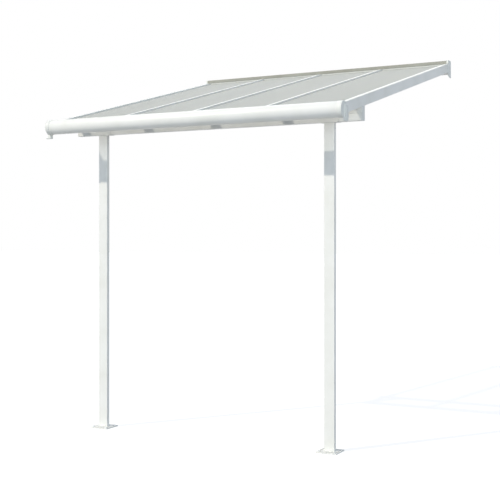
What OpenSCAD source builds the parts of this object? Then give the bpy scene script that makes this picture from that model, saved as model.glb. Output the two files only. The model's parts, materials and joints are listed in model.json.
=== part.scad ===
// Lean-to patio cover: an open aluminium frame that hangs on a wall rail at the back
// and stands on two posts in front, with a sloping roof of twin-wall glazing.
// Lengths are in millimetres. +X runs along the wall, +Y points into the wall, +Z is up.
// The origin is the middle of the wall rail's back face. Heights named _h count from the ground.

/* [Roof] */
// Distance between two rafters, centre to centre
rafter_pitch = 557; // [450:1:650]
// Slope of the roof in degrees
roof_slope = 14.55; // [8:0.05:20]
// Rear end of the rafters, measured out from the wall
rafter_back = 8; // [5:1:20]
// Front end of the rafters, measured along the slope from the middle of the gutter
rafter_front = 44; // [42:1:60]
// Front end of the panels and caps, measured the same way
panel_front = 36; // [33:1:40]

/* [Rafter] */
// Width of a rafter
rafter_w = 52; // [44:1:70]
// Height of a rafter, square to the slope
rafter_h = 52; // [40:1:80]
// Wall of a rafter
rafter_wall = 2; // [1.5:0.1:4]
// Clear width of the slot that takes the cap's legs
slot_w = 10; // [8:0.5:14]
// Thickness of the ribs beside the slot
rib_t = 2; // [1.5:0.1:3]

/* [Glazing] */
// Thickness of the twin-wall panels
panel_t = 8; // [6:1:10]
// Thickness of the panel's skins and webs
panel_skin = 0.8; // [0.5:0.1:1.2]
// Width of one hollow cell in the panel
cell_pitch = 16; // [10:1:30]
// Gap between a panel's edge and the rib beside it
panel_gap = 3; // [2:0.5:5]
// Width of a cap over an inner rafter
cap_w = 30; // [28:1:44]
// Height of a cap above the panels
cap_h = 10; // [6:0.5:16]
// Wall of a cap
cap_t = 2; // [1.5:0.1:3]
// Length of the cap's legs that reach down into the slot
cap_leg = 6; // [3:0.5:7]
// Thickness of those legs
leg_t = 1.5; // [1:0.1:2]
// Thickness of the cover strip on a panel's front edge
edge_t = 1.2; // [0.8:0.1:2]
// How far the cover strip reaches over the panel
edge_reach = 20; // [12:1:30]

/* [Gutter] */
// How far the middle of the gutter's round nose stands out beyond the beam's front
nose_over = 321; // [250:1:400]
// Height of the nose's middle above the rafters' underside, square to the slope
nose_rise = 32; // [24:1:38]
// Radius of the nose
nose_r = 51.5; // [48:0.5:60]
// Wall of the gutter
gutter_wall = 2; // [1.5:0.1:3]
// How far the gutter and its end caps reach past the edge rafters
gutter_over = 10; // [8:0.5:40]
// Where the nose's upper lip ends, behind the middle of the nose
lip_back = 28; // [20:1:30]
// Radius of the bead along that lip
bead_r = 2.4; // [1.5:0.1:4]
// Length of the flange under the rafters
flange_len = 46; // [30:1:60]
// Thickness of the end caps
gutter_cap_t = 6; // [3:0.5:6]
// Width of the end cap's collar along the gutter
collar_w = 30; // [15:1:40]
// Thickness of the collar
collar_t = 1.5; // [1:0.1:3]
// How far the outlet box reaches out beyond the end cap
spout_w = 17; // [12:1:30]
// Depth of the outlet box, from the middle of the nose backwards
spout_d = 29; // [22:1:36]
// Height of the outlet box's top above the middle of the nose
spout_rise = 28; // [18:1:32]
// Radius of its outer top corner
spout_round = 13; // [2:1:14]
// How far the outlet reaches down below the nose
spout_drop = 22.5; // [12:0.5:40]
// Wall of the outlet box
spout_wall = 2; // [1.5:0.1:3]
// Reach of the drip tray beyond the left outlet
tray_reach = 20; // [10:1:60]
// Height of the drip tray
tray_t = 5; // [4:0.5:12]

/* [Support beam] */
// Clear height under the beam
clear_h = 2169; // [2000:1:2300]
// Distance from the wall to the front of the beam
beam_out = 1987; // [1900:1:2150]
// Depth of the beam, front to back
beam_d = 46; // [40:1:70]
// Height of the beam's front face
beam_h = 86.5; // [70:0.5:120]
// Wall of the beam
beam_wall = 2; // [1.5:0.1:4]
// Height of the middle of the groove above the beam's underside
groove_z = 45; // [30:1:50]
// Height of the groove
groove_h = 5; // [3:0.5:10]
// Depth of the groove
groove_d = 4; // [2:0.5:8]
// Thickness of the beam's end caps
beam_cap_t = 3; // [2:0.5:6]
// Width of the clips that hold the rafters down on the beam
clip_w = 36; // [20:1:44]
// Length of the clips' legs
clip_leg = 32; // [20:1:50]

/* [Posts] */
// How far the posts' middles stand in from the edge rafters' outer sides
post_inset = 229; // [150:1:380]
// Width of a post
post_w = 73.5; // [60:0.5:90]
// Depth of a post
post_d = 29; // [26:0.5:38]
// Wall of a post
post_wall = 2; // [1.5:0.1:4]
// Width of a post's top bracket
bracket_w = 133; // [100:1:160]
// Height of the bracket's front plate above the beam's underside
bracket_h = 60; // [40:1:68]
// Thickness of the brackets
bracket_t = 3; // [2:0.5:5]
// Length of the tongues inside the post
tongue_h = 70; // [40:1:120]
// Gap between a tongue and the post's inside
tongue_gap = 0.3; // [0.1:0.1:1]

/* [Feet] */
// Width of a foot plate
foot_w = 147; // [120:1:180]
// Depth of a foot plate
foot_d = 142; // [120:1:180]
// Thickness of a foot plate
foot_t = 8; // [5:0.5:15]
// Distance between the foot's holes along X
foot_hole_x = 112; // [100:1:112]
// Distance between the foot's holes along Y
foot_hole_y = 106; // [70:1:108]
// Radius of the foot's holes
foot_hole_r = 5; // [3:0.5:6]

/* [Wall rail] */
// Depth of the wall rail
rail_d = 72; // [60:1:100]
// How far the rail reaches past the edge rafters
rail_over = 0; // [0:0.5:10]
// Height of the dark flashing strip
flashing_h = 25; // [15:1:40]
// Thickness of the flashing strip
flashing_t = 3; // [1:0.5:4]
// Wall of the rail
rail_t = 3; // [2:0.5:4]
// Height of the rail's front lip, which the rafters rest on
seat_h = 6; // [4:0.5:12]
// Distance of the rear rib, which they rest on too, from the wall
seat_back = 16; // [12:1:30]
// Thickness of the rail's end caps
rail_cap_t = 3.5; // [2:0.5:8]
// How far the end caps stand proud of the flashing and of the rail's top
rail_cap_proud = 4; // [2:0.5:6]
// Width of the end caps' ears, which cover the flashing's ends
ear_w = 11; // [4:0.5:20]
// How far the end caps reach down below the rail at the wall
rail_cap_drop = 30; // [18:1:60]
// The same at their front edge
front_drop = 16; // [5:1:18]
// Depth of the end caps' flat underside, behind the chamfer
rail_cap_foot = 30; // [15:1:50]
// Radius of the wall fixing holes
wall_hole_r = 4.5; // [3:0.5:6]
// Height of the wall fixing holes above the rail's underside
wall_hole_z = 32; // [30:1:45]
// Distance of the outermost wall fixing holes from the rail's ends
wall_hole_inset = 95; // [60:1:200]

/* [Hidden] */
$fn = 64;

white = "#F1F2EE";
clear = "#C6CAC9";
dark = "#8F8F86";
steel = "#C9CCCE";

bay_count = 4;
wall_hole_count = 6;
left = -1;
right = 1;
// A cut runs this far past the face that it opens
past = 1;
// Clearance between pieces that pass each other without touching
pass_gap = 0.3;

// Rafters: the underside is a straight line that lies on the beam's front top edge
beam_top_h = clear_h + beam_h;
function under_h(y) = beam_top_h + (y + beam_out) * tan(roof_slope);
function square_h(h) = h / cos(roof_slope);
stack_h = rafter_h + panel_t + cap_h;
function cap_top_h(y) = under_h(y) + square_h(stack_h);
function panel_top_h(y) = under_h(y) + square_h(rafter_h + panel_t);
function rafter_x(i) = (i - 1 - bay_count / 2) * rafter_pitch;
function edge_side(i) = i == 1 ? left : i == bay_count + 1 ? right : 0;
roof_w = bay_count * rafter_pitch + rafter_w;
post_span = roof_w - 2 * post_inset;

// Gutter: its profile is turned with the roof, about the point below its middle
gutter_len = roof_w + 2 * gutter_over;
nose_out = beam_out + nose_over;
gutter_y = -nose_out + nose_rise * sin(roof_slope);
function slope_len(from_back, to_front) = (-gutter_y - from_back) / cos(roof_slope) - to_front;

// Outlets: boxes on the end caps' outsides, open to the gutter and below
nose_mid_h = under_h(gutter_y) + nose_rise * cos(roof_slope);
spout_mouth_h = nose_mid_h - nose_r - spout_drop;
spout_front = -nose_out;
spout_rear = spout_front + spout_d;

// Wall rail: the flashing just clears the caps that pass under it
rail_front = -rail_d;
flashing_low_h = cap_top_h(rail_front + rail_t) + pass_gap;
rail_top_h = flashing_low_h + flashing_h;
rail_low_h = under_h(rail_front) - seat_h;
origin_h = (rail_top_h + rail_low_h) / 2;
rail_len = roof_w + 2 * rail_over;
wall_hole_pitch = (rail_len - 2 * wall_hole_inset) / (wall_hole_count - 1);

// Posts
post_top_h = clear_h - bracket_t;
beam_len = roof_w;

module placed() translate([0, 0, -origin_h]) children();
module on_slope(y) translate([0, y, under_h(y)]) rotate([roof_slope, 0, 0]) children();
// A bar down the slope: the section's x is +X, its y is square to the slope
module slope_bar(back, len) placed() on_slope(-back) rotate([90, 0, 0]) linear_extrude(len) children();
// A bar along the wall: the section's x is +Y, its y is +Z
module cross_bar(len, mid_x = 0)
    translate([mid_x, 0, 0]) rotate([90, 0, 90]) linear_extrude(len, center = true) children();

// Section of a plate whose top lies under the rafters, from one distance to another
module rafter_seat(front, back, t)
    polygon([
        [front, under_h(front) - t], [back, under_h(back) - t],
        [back, under_h(back)], [front, under_h(front)]
    ]);

module box_between(low, high) translate(low) cube(high - low);

module wall_rail() color(white) placed() difference() {
    cross_bar(rail_len) {
        translate([-rail_t, rail_low_h]) square([rail_t, rail_top_h - rail_low_h]);
        translate([rail_front, rail_top_h - rail_t]) square([rail_d, rail_t]);
        translate([rail_front, flashing_low_h]) square([rail_t, flashing_h]);
        translate([rail_front, rail_low_h]) square([rail_d, rail_t]);
        translate([rail_front, rail_low_h]) square([rail_t, seat_h]);
        rib_y = -seat_back - rail_t;
        translate([rib_y, rail_low_h]) square([rail_t, under_h(rib_y) - rail_low_h]);
    }
    for (k = [0 : wall_hole_count - 1])
        translate([wall_hole_inset - rail_len / 2 + k * wall_hole_pitch, past, rail_low_h + wall_hole_z])
            rotate([90, 0, 0]) cylinder(h = rail_t + 2 * past, r = wall_hole_r);
}

module wall_flashing() color(dark) placed() cross_bar(rail_len - 2 * (ear_w + pass_gap))
    translate([rail_front - flashing_t, flashing_low_h]) square([flashing_t, flashing_h]);

module wall_rail_end(s) color(white) placed() {
    front = rail_front - flashing_t - rail_cap_proud;
    top_h = rail_top_h + rail_cap_proud;
    cross_bar(rail_cap_t, s * (rail_len + rail_cap_t) / 2)
        polygon([
            [0, top_h], [front, top_h], [front, rail_low_h - front_drop],
            [-rail_cap_foot, rail_low_h - rail_cap_drop], [0, rail_low_h - rail_cap_drop]
        ]);
    // The ear runs half into the plate, so that the two are one piece
    cross_bar(ear_w + rail_cap_t / 2, s * (rail_len - ear_w + rail_cap_t / 2) / 2)
        translate([front, flashing_low_h]) square([rail_front - front, top_h - flashing_low_h]);
}

// Closes the gap over each panel under the flashing, between the caps
module wall_seal() color(white) placed()
    for (i = [1 : bay_count]) {
        seal_len = rafter_pitch - cap_w - 2 * pass_gap;
        cross_bar(seal_len, rafter_x(i) + rafter_pitch / 2)
            polygon([
                [rail_front, panel_top_h(rail_front)], [rail_front + rail_t, panel_top_h(rail_front + rail_t)],
                [rail_front + rail_t, flashing_low_h], [rail_front, flashing_low_h]
            ]);
    }

module rafter_section(side) {
    difference() {
        translate([-rafter_w / 2, 0]) square([rafter_w, rafter_h]);
        translate([-rafter_w / 2 + rafter_wall, rafter_wall])
            square([rafter_w - 2 * rafter_wall, rafter_h - 2 * rafter_wall]);
    }
    rib_low = rafter_h - rafter_wall / 2;
    for (s = [left, right])
        translate([s * (slot_w + rib_t) / 2 - rib_t / 2, rib_low])
            square([rib_t, panel_t + rafter_wall / 2]);
    if (side != 0)
        translate([side * (rafter_w - rib_t) / 2 - rib_t / 2, rib_low])
            square([rib_t, panel_t + rafter_wall / 2]);
}

module rafter(i) color(white)
    slope_bar(rafter_back, slope_len(rafter_back, rafter_front))
        translate([rafter_x(i), 0]) rafter_section(edge_side(i));

module cap_section(side) {
    reach_left = side == left ? rafter_w / 2 : cap_w / 2;
    reach_right = side == right ? rafter_w / 2 : cap_w / 2;
    seat = rafter_h + panel_t;
    width = reach_left + reach_right;
    translate([-reach_left, seat]) difference() {
        square([width, cap_h]);
        translate([cap_t, -past]) square([width - 2 * cap_t, cap_h - cap_t + past]);
    }
    for (s = [left, right])
        translate([s * (slot_w / 2 - pass_gap) - (s + 1) / 2 * leg_t, seat - cap_leg])
            square([leg_t, cap_leg + cap_h - cap_t / 2]);
}

module rafter_cap(i) color(white)
    slope_bar(rafter_back, slope_len(rafter_back, panel_front))
        translate([rafter_x(i), 0]) cap_section(edge_side(i));

panel_w = rafter_pitch - slot_w - 2 * (rib_t + panel_gap);
cell_count = floor((panel_w - panel_skin) / cell_pitch);
module panel_section() difference() {
    translate([-panel_w / 2, 0]) square([panel_w, panel_t]);
    first = -cell_count * cell_pitch / 2;
    for (k = [0 : cell_count - 1])
        translate([first + k * cell_pitch + panel_skin / 2, panel_skin])
            square([cell_pitch - panel_skin, panel_t - 2 * panel_skin]);
}

module roof_panel(i) color(clear, 0.6)
    slope_bar(rafter_back, slope_len(rafter_back, panel_front))
        translate([rafter_x(i) + rafter_pitch / 2, rafter_h]) panel_section();

// A channel over the panel's front edge, between the rafters
module panel_edge(i) color(white) placed()
    on_slope(gutter_y)
        cross_bar(rafter_pitch - rafter_w - 2 * pass_gap, rafter_x(i) + rafter_pitch / 2)
            translate([panel_front - edge_t, rafter_h - edge_t]) difference() {
                square([edge_reach + edge_t, panel_t + 2 * edge_t]);
                translate([edge_t, edge_t]) square([edge_reach + past, panel_t]);
            }

// An angle behind the beam that holds a rafter down on it
module rafter_clip(i) color(steel) placed()
    cross_bar(clip_w, rafter_x(i)) {
        back = -beam_out + beam_d;
        translate([back, under_h(back) - clip_leg]) square([bracket_t, clip_leg - bracket_t / 2]);
        rafter_seat(back, back + clip_leg, bracket_t);
    }

module nose_disc(r) translate([0, nose_rise]) circle(r = r, $fn = 96);

module gutter_section() {
    wall_r = nose_r - gutter_wall / 2;
    difference() {
        nose_disc(nose_r);
        nose_disc(nose_r - gutter_wall);
        translate([lip_back, 0]) square([2 * nose_r, 3 * nose_r]);
    }
    translate([lip_back, nose_rise + sqrt(wall_r * wall_r - lip_back * lip_back)])
        circle(r = bead_r, $fn = 24);
    translate([sqrt(wall_r * wall_r - nose_rise * nose_rise), -gutter_wall]) square([flange_len, gutter_wall]);
}

module gutter() color(white) placed()
    on_slope(gutter_y) cross_bar(gutter_len - 2 * gutter_cap_t) gutter_section();

module gutter_end(s) color(white) placed() {
    end_x = s * gutter_len / 2;
    difference() {
        union() {
            on_slope(gutter_y) {
                cross_bar(gutter_cap_t, end_x - s * gutter_cap_t / 2) nose_disc(nose_r + collar_t);
                cross_bar(collar_w, end_x - s * collar_w / 2) difference() {
                    nose_disc(nose_r + collar_t);
                    nose_disc(nose_r);
                    translate([lip_back, -gutter_wall - pass_gap]) square([2 * nose_r, 3 * nose_r]);
                }
            }
            spout_outside(s);
        }
        on_slope(gutter_y)
            cross_bar(gutter_len, -s * gutter_cap_t) nose_disc(nose_r);
        spout_inside(s);
    }
}

// A box from one distance beyond the end cap's face to another, behind the middle of the nose
module spout_box(s, x_from, x_to, wall, low_h, high_h) {
    ends = [s * (gutter_len / 2 + x_from), s * (gutter_len / 2 + x_to)];
    box_between([min(ends), spout_front + wall, low_h], [max(ends), spout_rear - wall, high_h]);
}

module spout_outside(s) {
    top_h = nose_mid_h + spout_rise;
    spout_box(s, -gutter_cap_t, spout_w, 0, spout_mouth_h, top_h - spout_round);
    spout_box(s, -gutter_cap_t, spout_w - spout_round, 0, spout_mouth_h, top_h);
    translate([s * (gutter_len / 2 + spout_w - spout_round), spout_front, top_h - spout_round])
        rotate([-90, 0, 0]) cylinder(h = spout_d, r = spout_round);
}

// The way down through the outlet, and the port from the gutter into it
module spout_inside(s) {
    inner_r = nose_r - gutter_wall;
    port_low_h = nose_mid_h - sqrt(inner_r * inner_r - spout_d * spout_d);
    spout_box(s, 0, spout_w - spout_wall, spout_wall, spout_mouth_h - past, nose_mid_h);
    spout_box(s, -gutter_cap_t - past, past, spout_wall, port_low_h, nose_mid_h);
}

// A shallow tray under the left outlet that leads the water outwards
module gutter_tray() color(white) placed() difference() {
    low = [-gutter_len / 2 - spout_w - tray_reach, spout_front, spout_mouth_h - tray_t];
    high = [-gutter_len / 2 + gutter_cap_t, spout_rear, spout_mouth_h];
    box_between(low, high);
    box_between(low + [-past, spout_wall, spout_wall], high + [-spout_wall, -spout_wall, past]);
}

// Section of the beam from its underside up, with a top that follows the rafters
module beam_outline(inset) {
    front = -beam_out + inset;
    back = -beam_out + beam_d - inset;
    drop = inset == 0 ? 0 : square_h(inset);
    polygon([
        [front, clear_h + inset], [back, clear_h + inset],
        [back, under_h(back) - drop], [front, under_h(front) - drop]
    ]);
}

module beam_section() difference() {
    beam_outline(0);
    difference() {
        beam_outline(beam_wall);
        translate([-beam_out, clear_h + groove_z - groove_h / 2 - beam_wall])
            square([groove_d + beam_wall, groove_h + 2 * beam_wall]);
    }
    translate([-beam_out - past, clear_h + groove_z - groove_h / 2]) square([groove_d + past, groove_h]);
}

module support_beam() color(white) placed() cross_bar(beam_len) beam_section();

module beam_end(s) color(white) placed()
    cross_bar(beam_cap_t, s * (beam_len + beam_cap_t) / 2) beam_outline(0);

module post(s) color(white) placed()
    translate([s * post_span / 2 - post_w / 2, -beam_out, foot_t]) difference() {
        cube([post_w, post_d, post_top_h - foot_t]);
        translate([post_wall, post_wall, -past])
            cube([post_w - 2 * post_wall, post_d - 2 * post_wall, post_top_h - foot_t + 2 * past]);
    }

// The tongue that a foot or a bracket has inside a post, as a short tube
module tongue(s, low_h, high_h) {
    gap = post_wall + tongue_gap;
    translate([s * post_span / 2 - post_w / 2 + gap, -beam_out + gap, low_h]) difference() {
        cube([post_w - 2 * gap, post_d - 2 * gap, high_h - low_h]);
        translate([post_wall, post_wall, -past])
            cube([post_w - 2 * gap - 2 * post_wall, post_d - 2 * gap - 2 * post_wall, high_h - low_h + 2 * past]);
    }
}

module post_bracket(s) color(white) placed() {
    mid_x = s * post_span / 2;
    cross_bar(bracket_w, mid_x) {
        translate([-beam_out - bracket_t, post_top_h]) square([bracket_t, bracket_t + bracket_h]);
        translate([-beam_out - bracket_t, post_top_h]) square([beam_d + 2 * bracket_t, bracket_t]);
        translate([-beam_out + beam_d, post_top_h]) square([bracket_t, bracket_t + bracket_h / 2]);
    }
    tongue(s, post_top_h - tongue_h, post_top_h + bracket_t / 2);
}

module foot(s) color(white) placed() {
    mid_x = s * post_span / 2;
    mid_y = -beam_out + post_d / 2;
    difference() {
        translate([mid_x - foot_w / 2, mid_y - foot_d / 2, 0]) cube([foot_w, foot_d, foot_t]);
        for (x = [-0.5, 0.5] * foot_hole_x, y = [-0.5, 0.5] * foot_hole_y)
            translate([mid_x + x, mid_y + y, -past]) cylinder(h = foot_t + 2 * past, r = foot_hole_r);
    }
    tongue(s, foot_t / 2, foot_t + tongue_h);
}

wall_rail();
wall_flashing();
wall_rail_end(left);  // wall_rail_end_left
wall_rail_end(right);  // wall_rail_end_right
wall_seal();
rafter(1);  // rafter_1
rafter(2);  // rafter_2
rafter(3);  // rafter_3
rafter(4);  // rafter_4
rafter(5);  // rafter_5
rafter_cap(1);  // rafter_cap_1
rafter_cap(2);  // rafter_cap_2
rafter_cap(3);  // rafter_cap_3
rafter_cap(4);  // rafter_cap_4
rafter_cap(5);  // rafter_cap_5
roof_panel(1);  // roof_panel_1
roof_panel(2);  // roof_panel_2
roof_panel(3);  // roof_panel_3
roof_panel(4);  // roof_panel_4
panel_edge(1);  // panel_edge_1
panel_edge(2);  // panel_edge_2
panel_edge(3);  // panel_edge_3
panel_edge(4);  // panel_edge_4
rafter_clip(1);  // rafter_clip_1
rafter_clip(2);  // rafter_clip_2
rafter_clip(3);  // rafter_clip_3
rafter_clip(4);  // rafter_clip_4
rafter_clip(5);  // rafter_clip_5
gutter();
gutter_end(left);  // gutter_end_left
gutter_end(right);  // gutter_end_right
gutter_tray();
support_beam();
beam_end(left);  // beam_end_left
beam_end(right);  // beam_end_right
post(left);  // post_left
post(right);  // post_right
post_bracket(left);  // post_bracket_left
post_bracket(right);  // post_bracket_right
foot(left);  // foot_left
foot(right);  // foot_right
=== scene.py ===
"""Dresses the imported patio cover: finishes on its extrusions, glazing, seals and fixings.

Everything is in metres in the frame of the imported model: +X along the wall, +Y into the wall,
+Z up, with the origin in the middle of the wall rail's back face. A size whose name ends in _mm
is in millimetres.
"""

from __future__ import annotations

import json
import logging
import math
from dataclasses import dataclass
from enum import Enum

import bmesh
import bpy
from mathutils import Matrix, Vector


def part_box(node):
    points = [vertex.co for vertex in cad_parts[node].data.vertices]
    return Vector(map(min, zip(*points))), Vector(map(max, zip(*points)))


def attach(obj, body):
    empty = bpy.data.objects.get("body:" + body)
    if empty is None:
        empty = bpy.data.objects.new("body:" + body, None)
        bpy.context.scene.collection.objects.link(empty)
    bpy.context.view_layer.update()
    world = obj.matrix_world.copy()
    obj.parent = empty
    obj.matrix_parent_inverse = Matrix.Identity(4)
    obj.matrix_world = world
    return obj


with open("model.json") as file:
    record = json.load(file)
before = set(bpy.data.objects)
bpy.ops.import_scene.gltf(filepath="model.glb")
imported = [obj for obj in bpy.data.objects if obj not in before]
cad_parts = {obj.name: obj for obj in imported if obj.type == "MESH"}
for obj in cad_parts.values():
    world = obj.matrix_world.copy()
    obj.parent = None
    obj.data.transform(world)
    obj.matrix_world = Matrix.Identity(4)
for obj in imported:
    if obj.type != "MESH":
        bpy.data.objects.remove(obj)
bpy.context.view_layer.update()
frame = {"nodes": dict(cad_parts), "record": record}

LOG = logging.getLogger("patio_cover")
MM = 0.001
BODY = "root"

UP = Vector((0.0, 0.0, 1.0))
TO_GARDEN = Vector((0.0, -1.0, 0.0))
TO_WALL = Vector((0.0, 1.0, 0.0))
WHITE = (1.0, 1.0, 1.0, 1.0)


class Side(Enum):
    """The two ends of the cover, as seen from the garden, with their sign along X."""

    LEFT = -1
    RIGHT = 1

    @property
    def label(self) -> str:
        """The side's name as the nodes write it."""
        return self.name.lower()

    @property
    def outward(self) -> Vector:
        """The direction out of that end, along the wall."""
        return Vector((float(self.value), 0.0, 0.0))


def linear(hex_colour: str) -> tuple[float, float, float, float]:
    """Turns an sRGB colour into the linear one that a shader takes.

    Args:
        hex_colour: six hex digits, such as "F2F3EE".

    Returns:
        Red, green and blue, linear, and a full alpha.
    """
    channels = [int(hex_colour[i : i + 2], 16) / 255 for i in (0, 2, 4)]
    turned = [c / 12.92 if c <= 0.04045 else ((c + 0.055) / 1.055) ** 2.4 for c in channels]
    return (*turned, 1.0)


def add_node(
    tree: bpy.types.NodeTree,
    kind: str,
    inputs: dict[str | int, object] | None = None,
    **settings: object,
) -> bpy.types.Node:
    """Adds a node to a tree, sets its properties and fills or links its inputs.

    Args:
        tree: the node tree.
        kind: the node's type name, such as "ShaderNodeMix".
        inputs: socket name or number to a value, or to an output socket to link from.
        **settings: properties of the node.

    Returns:
        The new node.
    """
    node = tree.nodes.new(kind)
    for name, value in settings.items():
        setattr(node, name, value)
    for key, value in (inputs or {}).items():
        if isinstance(value, bpy.types.NodeSocket):
            tree.links.new(value, node.inputs[key])
        else:
            node.inputs[key].default_value = value
    return node


def new_material(name: str) -> tuple[bpy.types.Material, bpy.types.NodeTree]:
    """Makes an empty node material.

    Args:
        name: the material's name.

    Returns:
        The material and its cleared node tree.
    """
    material = bpy.data.materials.new(name)
    material.use_nodes = True
    material.node_tree.nodes.clear()
    return material, material.node_tree


@dataclass(frozen=True)
class Finish:
    """A finish of one Principled shader, whose inputs each kind of finish works out."""

    name: str
    colour: str

    def build(self) -> bpy.types.Material:
        """Builds the finish as a material.

        Returns:
            The finished material.
        """
        material, tree = new_material(self.name)
        place = add_node(tree, "ShaderNodeTexCoord").outputs["Object"]
        shader = add_node(tree, "ShaderNodeBsdfPrincipled", self.skin(tree, place))
        add_node(tree, "ShaderNodeOutputMaterial", {"Surface": shader.outputs["BSDF"]})
        return material

    def skin(
        self, tree: bpy.types.NodeTree, place: bpy.types.NodeSocket
    ) -> dict[str | int, object]:
        """Adds the finish's patterns to its tree.

        Args:
            tree: the material's node tree.
            place: the Object coordinates, in metres.

        Returns:
            The shader's inputs by name.
        """
        raise NotImplementedError(self.name)


@dataclass(frozen=True)
class CoatedMetal(Finish):
    """Powder-coated aluminium: a satin skin with a fine orange peel and a trace of dust.

    The eye sees a soft, wide highlight that is slightly broken up, and no hard reflection.
    """

    dusty: str
    roughness: float = 0.42
    smoother: float = 0.04
    duller: float = 0.06
    peel_mm: float = 2.5
    peel_depth_mm: float = 0.2
    peel_strength: float = 0.06
    dust_mm: float = 180.0

    def skin(
        self, tree: bpy.types.NodeTree, place: bpy.types.NodeSocket
    ) -> dict[str | int, object]:
        """Adds the orange peel, the dust in faint clouds and the uneven sheen.

        Args:
            tree: the material's node tree.
            place: the Object coordinates, in metres.

        Returns:
            The shader's inputs by name.
        """
        # The real peel is about 1 mm wide. It is drawn coarser so that it shows in the render.
        peel = add_node(
            tree,
            "ShaderNodeTexNoise",
            {"Vector": place, "Scale": 1 / (self.peel_mm * MM), "Detail": 2.0},
        )
        dust = add_node(
            tree,
            "ShaderNodeTexNoise",
            {"Vector": place, "Scale": 1 / (self.dust_mm * MM), "Detail": 5.0},
        ).outputs["Fac"]
        amount = add_node(
            tree, "ShaderNodeMapRange", {"Value": dust, "From Min": 0.4, "From Max": 0.75}
        )
        colour = add_node(
            tree,
            "ShaderNodeMix",
            {"Factor": amount.outputs["Result"], "A": linear(self.colour), "B": linear(self.dusty)},
            data_type="RGBA",
        )
        sheen = add_node(
            tree,
            "ShaderNodeMapRange",
            {
                "Value": dust,
                "From Min": 0.3,
                "From Max": 0.7,
                "To Min": self.roughness - self.smoother,
                "To Max": self.roughness + self.duller,
            },
        )
        bump = add_node(
            tree,
            "ShaderNodeBump",
            {
                "Height": peel.outputs["Fac"],
                "Strength": self.peel_strength,
                "Distance": self.peel_depth_mm * MM,
            },
        )
        return {
            "Base Color": colour.outputs["Result"],
            "Roughness": sheen.outputs["Result"],
            "Normal": bump.outputs["Normal"],
            "IOR": 1.5,
        }


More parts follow.
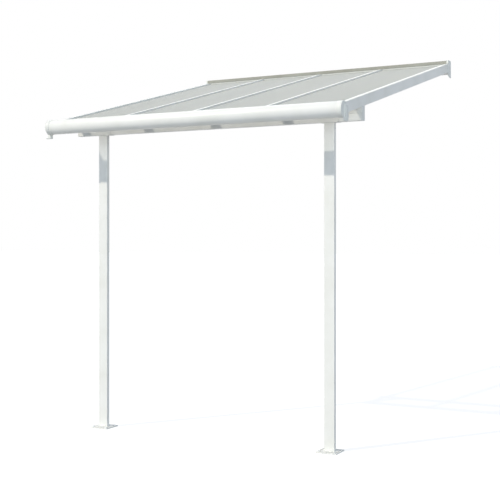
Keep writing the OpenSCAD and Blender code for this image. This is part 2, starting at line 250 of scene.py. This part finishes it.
@dataclass(frozen=True)
class TwinWallSheet(Finish):
    """Extruded twin-wall polycarbonate: a clear grey sheet whose webs show as fine lines.

    The eye sees a pale, slightly milky sheet that lets light through, with soft streaks down
    the slope where the webs stand. Its cover is the share of light that it stops.
    """

    streak: str
    square_cover: float = 0.06
    flat_cover: float = 0.95
    cover_rise: float = 4.0
    roughness: float = 0.45
    web_mm: float = 16.0
    sheet_pitch_mm: float = 557.0
    web_cover: float = 0.3
    web_sharpness: float = 10.0
    flute_depth_mm: float = 0.3
    streak_mm: float = 45.0
    streak_run_mm: float = 1666.7

    def skin(
        self, tree: bpy.types.NodeTree, place: bpy.types.NodeSocket
    ) -> dict[str | int, object]:
        """Adds the streaks, the flutes, the web lines and the cover.

        Args:
            tree: the material's node tree.
            place: the Object coordinates, in metres.

        Returns:
            The shader's inputs by name.
        """
        run = 1 / (self.streak_run_mm * MM)
        stretched = add_node(
            tree,
            "ShaderNodeMapping",
            {"Vector": place, "Scale": (1 / (self.streak_mm * MM), run, run)},
        )
        drift = add_node(
            tree,
            "ShaderNodeTexNoise",
            {"Vector": stretched.outputs["Vector"], "Scale": 1.0, "Detail": 3.0},
        )
        colour = add_node(
            tree,
            "ShaderNodeMix",
            {"Factor": drift.outputs["Fac"], "A": linear(self.colour), "B": linear(self.streak)},
            data_type="RGBA",
        )
        wave = self.web_wave(tree, place)
        bump = add_node(
            tree,
            "ShaderNodeBump",
            {"Height": wave, "Strength": 0.15, "Distance": self.flute_depth_mm * MM},
        )
        return {
            "Base Color": colour.outputs["Result"],
            "Roughness": self.roughness,
            "Alpha": self.cover(tree, wave),
            "Specular IOR Level": 0.1,
            "Normal": bump.outputs["Normal"],
            "IOR": 1.45,
        }

    def web_wave(
        self, tree: bpy.types.NodeTree, place: bpy.types.NodeSocket
    ) -> bpy.types.NodeSocket:
        """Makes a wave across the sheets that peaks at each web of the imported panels.

        The webs stand at half a cell from a sheet's middle and every cell from there.

        Args:
            tree: the material's node tree.
            place: the Object coordinates, in metres.

        Returns:
            A socket from -1 midway between two webs to 1 at a web.
        """
        across = add_node(tree, "ShaderNodeSeparateXYZ", {"Vector": place}).outputs["X"]
        in_sheet = add_node(
            tree,
            "ShaderNodeMath",
            {0: across, 1: self.sheet_pitch_mm * MM},
            operation="FLOORED_MODULO",
        )
        turns = 2 * math.pi / (self.web_mm * MM)
        first_web = (self.sheet_pitch_mm + self.web_mm) / 2 * MM
        angle = add_node(
            tree,
            "ShaderNodeMath",
            {0: in_sheet.outputs[0], 1: turns, 2: -turns * first_web},
            operation="MULTIPLY_ADD",
        )
        return add_node(
            tree, "ShaderNodeMath", {0: angle.outputs[0]}, operation="COSINE"
        ).outputs[0]

    def cover(
        self, tree: bpy.types.NodeTree, wave: bpy.types.NodeSocket
    ) -> bpy.types.NodeSocket:
        """Makes the share of light that the sheet stops.

        A clear sheet lets light through where it meets it squarely and mirrors the sky where it
        glances off, so its cover rises steeply towards a flat view. The webs add to it.

        Args:
            tree: the material's node tree.
            wave: the wave that peaks at each web.

        Returns:
            A socket from 0 to 1.
        """
        facing = add_node(tree, "ShaderNodeLayerWeight", {"Blend": 0.5}).outputs["Facing"]
        steep = add_node(
            tree, "ShaderNodeMath", {0: facing, 1: self.cover_rise}, operation="POWER"
        )
        skins = add_node(
            tree,
            "ShaderNodeMapRange",
            {"Value": steep.outputs[0], "To Min": self.square_cover, "To Max": self.flat_cover},
        )
        raised = add_node(tree, "ShaderNodeMath", {0: wave, 1: 0.0}, operation="MAXIMUM")
        # The real web is 0.5 mm thick. Its line is drawn about 2 mm wide so that it shows.
        line = add_node(
            tree,
            "ShaderNodeMath",
            {0: raised.outputs[0], 1: self.web_sharpness},
            operation="POWER",
        )
        return add_node(
            tree,
            "ShaderNodeMath",
            {0: line.outputs[0], 1: self.web_cover, 2: skins.outputs["Result"]},
            operation="MULTIPLY_ADD",
            use_clamp=True,
        ).outputs[0]


@dataclass(frozen=True)
class GrainedPlastic(Finish):
    """Polypropylene or soft seal plastic, moulded or extruded, with a fine spark grain.

    The eye sees a waxy, even skin with hardly a highlight.
    """

    roughness: float = 0.5
    grain_mm: float = 1.2
    grain_depth_mm: float = 0.1
    clouds_per_metre: float = 12.0
    cloud_shade: float = 0.94

    def skin(
        self, tree: bpy.types.NodeTree, place: bpy.types.NodeSocket
    ) -> dict[str | int, object]:
        """Adds the grain and the faint clouds in its colour.

        Args:
            tree: the material's node tree.
            place: the Object coordinates, in metres.

        Returns:
            The shader's inputs by name.
        """
        grain = add_node(
            tree,
            "ShaderNodeTexNoise",
            {"Vector": place, "Scale": 1 / (self.grain_mm * MM), "Detail": 2.0},
        )
        cloud = add_node(
            tree,
            "ShaderNodeTexNoise",
            {"Vector": place, "Scale": self.clouds_per_metre, "Detail": 2.0},
        )
        base = linear(self.colour)
        darker = tuple(c * self.cloud_shade for c in base[:3]) + (1.0,)
        colour = add_node(
            tree,
            "ShaderNodeMix",
            {"Factor": cloud.outputs["Fac"], "A": base, "B": darker},
            data_type="RGBA",
        )
        bump = add_node(
            tree,
            "ShaderNodeBump",
            {
                "Height": grain.outputs["Fac"],
                "Strength": 0.1,
                "Distance": self.grain_depth_mm * MM,
            },
        )
        return {
            "Base Color": colour.outputs["Result"],
            "Roughness": self.roughness,
            "Normal": bump.outputs["Normal"],
            "IOR": 1.49,
        }


@dataclass(frozen=True)
class BareMetal(Finish):
    """Bare metal as it comes from the die or the header: aluminium extrusions, zinc screws.

    The eye sees faint drawing lines along the bar, or a brushed dull shine on the small parts.
    """

    roughness: float = 0.35
    roughness_spread: float = 0.1
    line_mm: float = 1.5
    line_run_mm: float = 250.0
    line_depth_mm: float = 0.1

    def skin(
        self, tree: bpy.types.NodeTree, place: bpy.types.NodeSocket
    ) -> dict[str | int, object]:
        """Adds the lines that the die leaves along X.

        Args:
            tree: the material's node tree.
            place: the Object coordinates, in metres.

        Returns:
            The shader's inputs by name.
        """
        across = 1 / (self.line_mm * MM)
        drawn = add_node(
            tree,
            "ShaderNodeMapping",
            {"Vector": place, "Scale": (1 / (self.line_run_mm * MM), across, across)},
        )
        lines = add_node(
            tree,
            "ShaderNodeTexNoise",
            {"Vector": drawn.outputs["Vector"], "Scale": 1.0, "Detail": 3.0},
        ).outputs["Fac"]
        rough = add_node(
            tree,
            "ShaderNodeMapRange",
            {
                "Value": lines,
                "To Min": self.roughness - self.roughness_spread,
                "To Max": self.roughness + self.roughness_spread,
            },
        )
        bump = add_node(
            tree,
            "ShaderNodeBump",
            {"Height": lines, "Strength": 0.1, "Distance": self.line_depth_mm * MM},
        )
        return {
            "Base Color": linear(self.colour),
            "Metallic": 1.0,
            "Roughness": rough.outputs["Result"],
            "Normal": bump.outputs["Normal"],
        }


class Finishes:
    """The cover's finishes by the record's slot names, each built once."""

    def __init__(self) -> None:
        """Builds every finish."""
        finishes = {
            "white_coat": CoatedMetal("white_powder_coat", "F4F4F1", "ECECE7"),
            # The flashing's dark olive grey is painted shade: it stands in for the shade that falls
            # on the rail's top strip above the panels.
            "flashing_coat": CoatedMetal("painted_shade_flashing_coat", "A6A69C", "9B9A8F", roughness=0.55),
            "twin_wall": TwinWallSheet("twin_wall_polycarbonate", "BCBFBF", "C6C6BD"),
            "white_plastic": GrainedPlastic("moulded_polypropylene", "EFF0EC"),
            "seal": GrainedPlastic("extruded_soft_seal", "D9DAD4", roughness=0.7),
            "bare_aluminium": BareMetal("mill_aluminium", "CDCFD1"),
            "zinc": BareMetal("zinc_plated_steel", "D3D6D8", roughness=0.4, line_mm=0.8),
        }
        self.materials = {slot: finish.build() for slot, finish in finishes.items()}

    def put(self, piece: bpy.types.Object, slot: str) -> None:
        """Gives a piece one finish in place of whatever it had."""
        piece.data.materials.clear()
        piece.data.materials.append(self.materials[slot])


def rays_that_see(tree: bpy.types.NodeTree) -> bpy.types.NodeSocket:
    """Tells the rays that see the white background from those that only bring light from it.

    Args:
        tree: the node tree of the floor's material or of the world.

    Returns:
        A socket that is 1 for camera, glossy and transmission rays, and 0 for the rest.
    """
    path = add_node(tree, "ShaderNodeLightPath")
    seen = path.outputs["Is Camera Ray"]
    for other in ("Is Glossy Ray", "Is Transmission Ray"):
        seen = add_node(
            tree, "ShaderNodeMath", {0: seen, 1: path.outputs[other]}, operation="MAXIMUM"
        ).outputs[0]
    return seen


@dataclass(frozen=True)
class Lamp:
    """A distant lamp. How wide it looks softens its shadows."""

    name: str
    towards: tuple[float, float, float]
    energy: float
    width_degrees: float
    colour: str
    away_m: float = 5.0

    def hang(self) -> None:
        """Adds the lamp to the scene, pointing back from where it hangs."""
        data = bpy.data.lights.new(self.name, "SUN")
        data.energy = self.energy
        data.angle = math.radians(self.width_degrees)
        data.color = linear(self.colour)[:3]
        direction = Vector(self.towards)
        lamp = bpy.data.objects.new(self.name, data)
        lamp.rotation_euler = direction.to_track_quat("Z", "Y").to_euler()
        lamp.location = direction * self.away_m
        bpy.context.scene.collection.objects.link(lamp)


@dataclass(frozen=True)
class Studio:
    """The floor, the lamps, the world and the camera."""

    floor_z: float
    # Where the photograph was taken from, found by fitting its straight edges
    camera_at: tuple[float, float, float] = (3.4975, -7.999, -1.37242)
    turn_degrees: float = 27.835
    lens_mm: float = 71.51
    sensor_mm: float = 36.0
    rise: float = -0.02976
    farthest_m: float = 200.0
    # The key's direction comes from the gutter's shadow on the posts
    lamps: tuple[Lamp, ...] = (
        Lamp("key", (-0.68, -1.0, 0.98), 2.15, 1.2, "FFF7E8"),
        Lamp("fill", (0.6, -0.8, 0.09), 1.2, 25.0, "E6EEF3"),
        Lamp("back_fill", (-0.5, 0.8, 1.1), 0.55, 30.0, "F1F3F2"),
    )
    floor_half_m: float = 60.0
    floor_gap_mm: float = 0.5
    floor_lit: str = "B1B1B0"
    floor_seen: str = "AAAAAA"
    floor_glow: float = 0.77
    sky: str = "C9DDF4"
    sky_strength: float = 0.47

    def build(self) -> None:
        """Makes the whole studio."""
        self.add_camera()
        self.add_floor()
        for lamp in self.lamps:
            lamp.hang()
        self.add_world()
        bpy.context.scene.view_settings.view_transform = "Standard"

    def add_camera(self) -> None:
        """Sets up a level camera at the photograph's angle."""
        data = bpy.data.cameras.new("camera")
        data.lens = self.lens_mm
        data.sensor_width = self.sensor_mm
        data.shift_y = self.rise
        data.clip_end = self.farthest_m
        camera = bpy.data.objects.new("camera", data)
        camera.location = self.camera_at
        camera.rotation_euler = (math.pi / 2, 0.0, math.radians(self.turn_degrees))
        bpy.context.scene.collection.objects.link(camera)
        bpy.context.scene.camera = camera

    def add_floor(self) -> None:
        """Lays a wide pale floor, just under the feet."""
        mesh = bpy.data.meshes.new("floor")
        shape = bmesh.new()
        bmesh.ops.create_grid(shape, x_segments=1, y_segments=1, size=self.floor_half_m)
        under = (0.0, 0.0, self.floor_z - self.floor_gap_mm * MM)
        bmesh.ops.translate(shape, verts=shape.verts, vec=under)
        shape.to_mesh(mesh)
        shape.free()
        floor = bpy.data.objects.new("floor", mesh)
        bpy.context.scene.collection.objects.link(floor)
        mesh.materials.append(self.floor_paper())

    def floor_paper(self) -> bpy.types.Material:
        """Makes matte studio paper that shows white and keeps the object's shadow.

        Returns:
            The floor's material.
        """
        material, tree = new_material("floor_paper")
        lit = add_node(tree, "ShaderNodeBsdfDiffuse", {"Color": linear(self.floor_lit)})
        paper = add_node(tree, "ShaderNodeBsdfDiffuse", {"Color": linear(self.floor_seen)})
        glow = add_node(
            tree, "ShaderNodeEmission", {"Color": WHITE, "Strength": self.floor_glow}
        )
        pale = add_node(tree, "ShaderNodeAddShader", {0: paper.outputs[0], 1: glow.outputs[0]})
        both = add_node(
            tree,
            "ShaderNodeMixShader",
            {0: rays_that_see(tree), 1: lit.outputs[0], 2: pale.outputs[0]},
        )
        add_node(tree, "ShaderNodeOutputMaterial", {"Surface": both.outputs[0]})
        return material

    def add_world(self) -> None:
        """Fills the shadows with a cool even light, and shows white behind the object."""
        world = bpy.data.worlds.new("studio")
        bpy.context.scene.world = world
        world.use_nodes = True
        tree = world.node_tree
        tree.nodes.clear()
        sky = add_node(
            tree,
            "ShaderNodeBackground",
            {"Color": linear(self.sky), "Strength": self.sky_strength},
        )
        white = add_node(tree, "ShaderNodeBackground", {"Color": WHITE, "Strength": 1.0})
        both = add_node(
            tree,
            "ShaderNodeMixShader",
            {0: rays_that_see(tree), 1: sky.outputs[0], 2: white.outputs[0]},
        )
        add_node(tree, "ShaderNodeOutputWorld", {"Surface": both.outputs[0]})


@dataclass(frozen=True)
class Roof:
    """The sloping plane that the rafters' undersides lie in, and the rafters' spacing."""

    slope_degrees: float = 14.55
    beam_top_mm: float = 2255.5
    beam_out_mm: float = 1987.0
    rafter_pitch_mm: float = 557.0
    rafter_count: int = 5
    rafter_h_mm: float = 52.0
    panel_t_mm: float = 8.0

    @property
    def slope(self) -> float:
        """The slope in radians."""
        return math.radians(self.slope_degrees)

    @property
    def upward(self) -> Vector:
        """The direction square to the slope."""
        return Vector((0.0, -math.sin(self.slope), math.cos(self.slope)))

    @property
    def rafters_x(self) -> list[float]:
        """The places of the rafters' middles along the wall, in mm, from left to right."""
        middle = (self.rafter_count - 1) / 2
        return [(k - middle) * self.rafter_pitch_mm for k in range(self.rafter_count)]

    def point(self, x: float, y: float, up: float) -> Vector:
        """Finds a point on the slope.

        Args:
            x: place along the wall, in mm.
            y: place of the foot of the perpendicular, in mm, negative away from the wall.
            up: height square to the slope above the rafters' undersides, in mm.

        Returns:
            The point in metres.
        """
        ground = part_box("foot_left")[0].z
        under = self.beam_top_mm + (y + self.beam_out_mm) * math.tan(self.slope)
        return Vector(
            (
                x * MM,
                (y - up * math.sin(self.slope)) * MM,
                ground + (under + up * math.cos(self.slope)) * MM,
            )
        )


@dataclass(frozen=True)
class Workshop:
    """Turns bmesh shapes into named pieces that ride on the cover."""

    finishes: Finishes
    weld_mm: float = 0.01
    sharp_degrees: float = 40.0

    def piece(
        self, name: str, shape: bmesh.types.BMesh, slot: str, finish: str | None = None
    ) -> None:
        """Makes an object of a shape, finishes it and fixes it to the cover.

        Args:
            name: the piece's name.
            shape: its shape in metres, which is freed.
            slot: the record's material slot that it belongs to.
            finish: its own finish, where that isn't the slot's.
        """
        bmesh.ops.recalc_face_normals(shape, faces=shape.faces)
        mesh = bpy.data.meshes.new(name)
        shape.to_mesh(mesh)
        shape.free()
        made = bpy.data.objects.new(name, mesh)
        bpy.context.scene.collection.objects.link(made)
        self.finishes.put(made, finish or slot)
        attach(made, BODY)
        LOG.info("piece %s: %d faces", name, len(mesh.polygons))

    def fixings(self, name: str, shape: bmesh.types.BMesh) -> None:
        """Makes a piece of bare fasteners, which are zinc in the slot of the bare metal."""
        self.piece(name, shape, "bare_aluminium", "zinc")

    def soften(self, node: str, width_mm: float) -> None:
        """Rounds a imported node's sharp edges a little, as drawn or moulded ones are.

        Args:
            node: the node's name.
            width_mm: width of the rounding.
        """
        piece = frame["nodes"][node]
        weld = piece.modifiers.new("weld", "WELD")
        weld.merge_threshold = self.weld_mm * MM
        bevel = piece.modifiers.new("soft_edges", "BEVEL")
        bevel.limit_method = "ANGLE"
        bevel.angle_limit = math.radians(self.sharp_degrees)
        bevel.width = width_mm * MM
        bevel.segments = 2


class Drive(Enum):
    """How a fastener is turned: the sides of its head and whether it has a socket."""

    HEX = (6, False)
    SOCKET = (24, True)


@dataclass(frozen=True)
class Fastener:
    """A screw or anchor, of which only the head and washer show."""

    head_r_mm: float
    head_h_mm: float
    drive: Drive
    washer_r_mm: float = 0.0
    washer_t_mm: float = 0.0
    washer_sides: int = 24
    edge_share: float = 0.16
    socket_share: float = 0.45
    socket_depth_share: float = 0.6
    socket_slant_mm: float = 0.1

    def add(self, shape: bmesh.types.BMesh, at: Vector, outward: Vector) -> None:
        """Adds the washer and the head to a shape.

        Args:
            shape: the shape to add to.
            at: the point on the clamped face, in metres.
            outward: the direction out of that face.
        """
        place = Matrix.Translation(at) @ outward.to_track_quat("Z", "Y").to_matrix().to_4x4()
        if self.washer_r_mm:
            self.add_disc(shape, place, self.washer_r_mm, self.washer_t_mm, self.washer_sides)
        sides, has_socket = self.drive.value
        raised = place @ Matrix.Translation(UP * self.washer_t_mm * MM)
        top = self.add_disc(shape, raised, self.head_r_mm, self.head_h_mm, sides)
        if has_socket:
            rim = self.head_r_mm * (1 - self.socket_share) * MM
            depth = self.socket_depth_share * self.head_h_mm * MM
            bmesh.ops.inset_individual(shape, faces=[top], thickness=rim)
            bmesh.ops.inset_individual(
                shape, faces=[top], thickness=self.socket_slant_mm * MM, depth=-depth
            )

    def add_disc(
        self, shape: bmesh.types.BMesh, place: Matrix, radius: float, height: float, sides: int
    ) -> bmesh.types.BMFace:
        """Adds a flat round or many-sided body with a softened upper edge.

        Args:
            shape: the shape to add to.
            place: the matrix of the middle of its base.
            radius: its radius in mm.
            height: its height in mm.
            sides: the number of its sides.

        Returns:
            Its top face.
        """
        axis = place.to_3x3() @ UP
        made = bmesh.ops.create_cone(
            shape,
            cap_ends=True,
            segments=sides,
            radius1=radius * MM,
            radius2=radius * MM,
            depth=height * MM,
            matrix=place @ Matrix.Translation((0.0, 0.0, height / 2 * MM)),
        )
        faces = {f for v in made["verts"] for f in v.link_faces}
        top = max(faces, key=lambda f: f.calc_center_median().dot(axis))
        softened = bmesh.ops.bevel(
            shape,
            geom=list(top.edges),
            offset=self.edge_share * min(radius, 2 * height) * MM,
            offset_type="OFFSET",
            segments=2,
            profile=0.5,
            affect="EDGES",
            material=-1,
            clamp_overlap=True,
        )
        near = {f for v in softened["verts"] for f in v.link_faces}
        return max(near, key=lambda f: f.calc_center_median().dot(axis))


ANCHOR = Fastener(6.6, 5.2, Drive.HEX, washer_r_mm=9.5, washer_t_mm=1.6)
PAN_HEAD = Fastener(4.6, 2.6, Drive.SOCKET)
SEALED_SCREW = Fastener(4.6, 4.2, Drive.HEX, washer_r_mm=7.5, washer_t_mm=1.8)


@dataclass(frozen=True)
class Feet:
    """The two foot plates and the ground anchors through their holes."""

    hole_x_mm: float = 112.0
    hole_y_mm: float = 106.0
    plate_t_mm: float = 8.0
    edge_mm: float = 1.2

    def build(self, shop: Workshop) -> None:
        """Softens the plates and adds four anchors to each.

        Args:
            shop: the workshop that makes the pieces.
        """
        for side in Side:
            node = f"foot_{side.label}"
            shop.soften(node, self.edge_mm)
            low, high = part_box(node)
            middle = (low + high) / 2
            shape = bmesh.new()
            for dx in (-0.5, 0.5):
                for dy in (-0.5, 0.5):
                    at = Vector(
                        (
                            middle.x + dx * self.hole_x_mm * MM,
                            middle.y + dy * self.hole_y_mm * MM,
                            low.z + self.plate_t_mm * MM,
                        )
                    )
                    ANCHOR.add(shape, at, UP)
            shop.fixings(f"ground_anchors_{side.label}", shape)


@dataclass(frozen=True)
class Posts:
    """The two posts, their saddle brackets and the screws into the tongues."""

    screw_from_foot_mm: float = 45.0
    screw_from_top_mm: float = 40.0
    bracket_screw_in_mm: float = 15.0
    front_screw_up_mm: float = 36.0
    back_screw_up_mm: float = 18.0
    edge_mm: float = 1.5
    bracket_edge_mm: float = 0.8

    def build(self, shop: Workshop) -> None:
        """Softens the posts and brackets and adds their screws.

        Args:
            shop: the workshop that makes the pieces.
        """
        for side in Side:
            shop.soften(f"post_{side.label}", self.edge_mm)
            shop.soften(f"post_bracket_{side.label}", self.bracket_edge_mm)
            shop.fixings(f"post_screws_{side.label}", self.post_screws(side))
            shop.piece(f"bracket_screws_{side.label}", self.bracket_screws(side), "white_coat")

    def post_screws(self, side: Side) -> bmesh.types.BMesh:
        """Makes the screws in a post's narrow faces, into the tongues inside.

        Args:
            side: which post.

        Returns:
            Their shape.
        """
        low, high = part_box(f"post_{side.label}")
        middle_y = (low.y + high.y) / 2
        shape = bmesh.new()
        for z in (low.z + self.screw_from_foot_mm * MM, high.z - self.screw_from_top_mm * MM):
            for face_x, facing in ((low.x, Side.LEFT), (high.x, Side.RIGHT)):
                PAN_HEAD.add(shape, Vector((face_x, middle_y, z)), facing.outward)
        return shape

    def bracket_screws(self, side: Side) -> bmesh.types.BMesh:
        """Makes the coated screws that hold a bracket to the beam, front and back.

        Args:
            side: which bracket.

        Returns:
            Their shape.
        """
        low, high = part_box(f"post_bracket_{side.label}")
        plate_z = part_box(f"post_{side.label}")[1].z
        front_z = plate_z + self.front_screw_up_mm * MM
        back_z = plate_z + self.back_screw_up_mm * MM
        inset = self.bracket_screw_in_mm * MM
        shape = bmesh.new()
        for x in (low.x + inset, high.x - inset):
            PAN_HEAD.add(shape, Vector((x, low.y, front_z)), TO_GARDEN)
            PAN_HEAD.add(shape, Vector((x, high.y, back_z)), TO_WALL)
        return shape


@dataclass(frozen=True)
class SupportBeam:
    """The beam on the posts, its end caps, and the clips that hold the rafters down on it."""

    roof: Roof
    beam_d_mm: float = 46.0
    clip_leg_mm: float = 32.0
    clip_t_mm: float = 3.0
    screw_share: float = 0.6
    edge_mm: float = 1.2
    cap_edge_mm: float = 0.8

    def build(self, shop: Workshop) -> None:
        """Softens the beam and adds the clips' screws.

        Args:
            shop: the workshop that makes the pieces.
        """
        shop.soften("support_beam", self.edge_mm)
        for side in Side:
            shop.soften(f"beam_end_{side.label}", self.cap_edge_mm)
        back = -self.roof.beam_out_mm + self.beam_d_mm
        along_leg = self.screw_share * self.clip_leg_mm
        shape = bmesh.new()
        for x in self.roof.rafters_x:
            upright = self.roof.point(x, back, 0.0)
            upright.y += self.clip_t_mm * MM
            upright.z -= along_leg * MM
            SEALED_SCREW.add(shape, upright, TO_WALL)
            seat = self.roof.point(x, back + along_leg, 0.0)
            seat.z -= self.clip_t_mm * MM
            SEALED_SCREW.add(shape, seat, -self.roof.upward)
        shop.fixings("clip_screws", shape)


@dataclass(frozen=True)
class RoofFrame:
    """The rafters with their caps, and the soft gaskets along the caps' edges."""

    roof: Roof
    cap_w_mm: float = 30.0
    gasket_r_mm: float = 1.5
    gasket_sides: int = 12
    gasket_back_mm: float = -80.0
    gasket_front_mm: float = -2265.0
    edge_mm: float = 1.5
    cap_edge_mm: float = 1.6

    def build(self, shop: Workshop) -> None:
        """Softens the bars and lays a gasket along each cap edge that meets a panel.

        Args:
            shop: the workshop that makes the pieces.
        """
        for number, x in enumerate(self.roof.rafters_x, start=1):
            shop.soften(f"rafter_{number}", self.edge_mm)
            shop.soften(f"rafter_cap_{number}", self.cap_edge_mm)
            shape = bmesh.new()
            if number > 1:
                self.add_gasket(shape, x - self.cap_w_mm / 2)
            if number < self.roof.rafter_count:
                self.add_gasket(shape, x + self.cap_w_mm / 2)
            shop.piece(f"cap_gasket_{number}", shape, "seal")

    def add_gasket(self, shape: bmesh.types.BMesh, x: float) -> None:
        """Adds a round bead down the slope on top of the panels.

        Args:
            shape: the shape to add to.
            x: its place along the wall, in mm.
        """
        top = self.roof.rafter_h_mm + self.roof.panel_t_mm
        start = self.roof.point(x, self.gasket_back_mm, top)
        end = self.roof.point(x, self.gasket_front_mm, top)
        along = end - start
        turn = along.to_track_quat("Z", "Y").to_matrix().to_4x4()
        bmesh.ops.create_cone(
            shape,
            cap_ends=True,
            segments=self.gasket_sides,
            radius1=self.gasket_r_mm * MM,
            radius2=self.gasket_r_mm * MM,
            depth=along.length,
            matrix=Matrix.Translation((start + end) / 2) @ turn,
        )


@dataclass(frozen=True)
class Gutter:
    """The rolled gutter, its end caps with their outlets, and the screws in its flange."""

    roof: Roof
    flange_y_mm: float = -2237.0
    flange_t_mm: float = 2.0
    edge_mm: float = 0.8
    cap_edge_mm: float = 1.6

    def build(self, shop: Workshop) -> None:
        """Softens the gutter and adds a screw under each rafter.

        Args:
            shop: the workshop that makes the pieces.
        """
        shop.soften("gutter", self.edge_mm)
        shop.soften("gutter_tray", self.edge_mm)
        for side in Side:
            shop.soften(f"gutter_end_{side.label}", self.cap_edge_mm)
        shape = bmesh.new()
        for x in self.roof.rafters_x:
            at = self.roof.point(x, self.flange_y_mm, -self.flange_t_mm)
            SEALED_SCREW.add(shape, at, -self.roof.upward)
        shop.fixings("gutter_screws", shape)


@dataclass(frozen=True)
class WallRail:
    """The rail on the wall with its flashing, end caps, wall anchors and rafter screws."""

    roof: Roof
    anchor_pitch_mm: float = 418.0
    anchor_count: int = 6
    anchor_up_mm: float = 32.0
    wall_t_mm: float = 3.0
    rafter_screw_out_mm: float = 45.0
    cap_screw_out_mm: float = 34.0
    cap_screw_in_mm: float = 14.0
    edge_mm: float = 1.0

    def build(self, shop: Workshop) -> None:
        """Softens the rail's pieces and adds its fasteners.

        Args:
            shop: the workshop that makes the pieces.
        """
        for node in ("wall_rail", "wall_flashing", "wall_rail_end_left", "wall_rail_end_right"):
            shop.soften(node, self.edge_mm)
        shop.fixings("wall_anchors", self.wall_anchors())
        shop.fixings("rail_screws", self.rail_screws())
        for side in Side:
            shop.piece(f"end_cap_screws_{side.label}", self.end_cap_screws(side), "white_coat")

    def wall_anchors(self) -> bmesh.types.BMesh:
        """Makes the anchors through the rail's back plate into the wall.

        Returns:
            Their shape.
        """
        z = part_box("wall_rail")[0].z + self.anchor_up_mm * MM
        middle = (self.anchor_count - 1) / 2
        shape = bmesh.new()
        for k in range(self.anchor_count):
            x = (k - middle) * self.anchor_pitch_mm * MM
            ANCHOR.add(shape, Vector((x, -self.wall_t_mm * MM, z)), TO_GARDEN)
        return shape

    def rail_screws(self) -> bmesh.types.BMesh:
        """Makes the screws up through the rail's floor into the rafters.

        Returns:
            Their shape.
        """
        low_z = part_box("wall_rail")[0].z
        shape = bmesh.new()
        for x in self.roof.rafters_x:
            PAN_HEAD.add(shape, Vector((x * MM, -self.rafter_screw_out_mm * MM, low_z)), -UP)
        return shape

    def end_cap_screws(self, side: Side) -> bmesh.types.BMesh:
        """Makes the coated screws through an end cap into the rail.

        Args:
            side: which end.

        Returns:
            Their shape.
        """
        low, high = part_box("wall_rail")
        cap_low, cap_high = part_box(f"wall_rail_end_{side.label}")
        face_x = cap_low.x if side is Side.LEFT else cap_high.x
        inset = self.cap_screw_in_mm * MM
        shape = bmesh.new()
        for z in (low.z + inset, high.z - inset):
            at = Vector((face_x, -self.cap_screw_out_mm * MM, z))
            PAN_HEAD.add(shape, at, side.outward)
        return shape


def dress_nodes(finishes: Finishes) -> None:
    """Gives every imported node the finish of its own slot.

    Args:
        finishes: the built finishes.
    """
    slots = {part["node"]: part["material_slot"] for part in frame["record"]["subparts"]}
    for name, node in frame["nodes"].items():
        finishes.put(node, slots[name])
        LOG.info("node %s: %s", name, slots[name])


def main() -> None:
    """Builds the pieces in order."""
    logging.basicConfig(level=logging.INFO, format="%(name)s: %(message)s")
    Studio(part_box("foot_left")[0].z).build()
    finishes = Finishes()
    dress_nodes(finishes)
    shop = Workshop(finishes)
    roof = Roof()
    assemblies = (
        WallRail(roof),
        RoofFrame(roof),
        Gutter(roof),
        SupportBeam(roof),
        Posts(),
        Feet(),
    )
    for assembly in assemblies:
        assembly.build(shop)


if __name__ == "__main__":
    main()
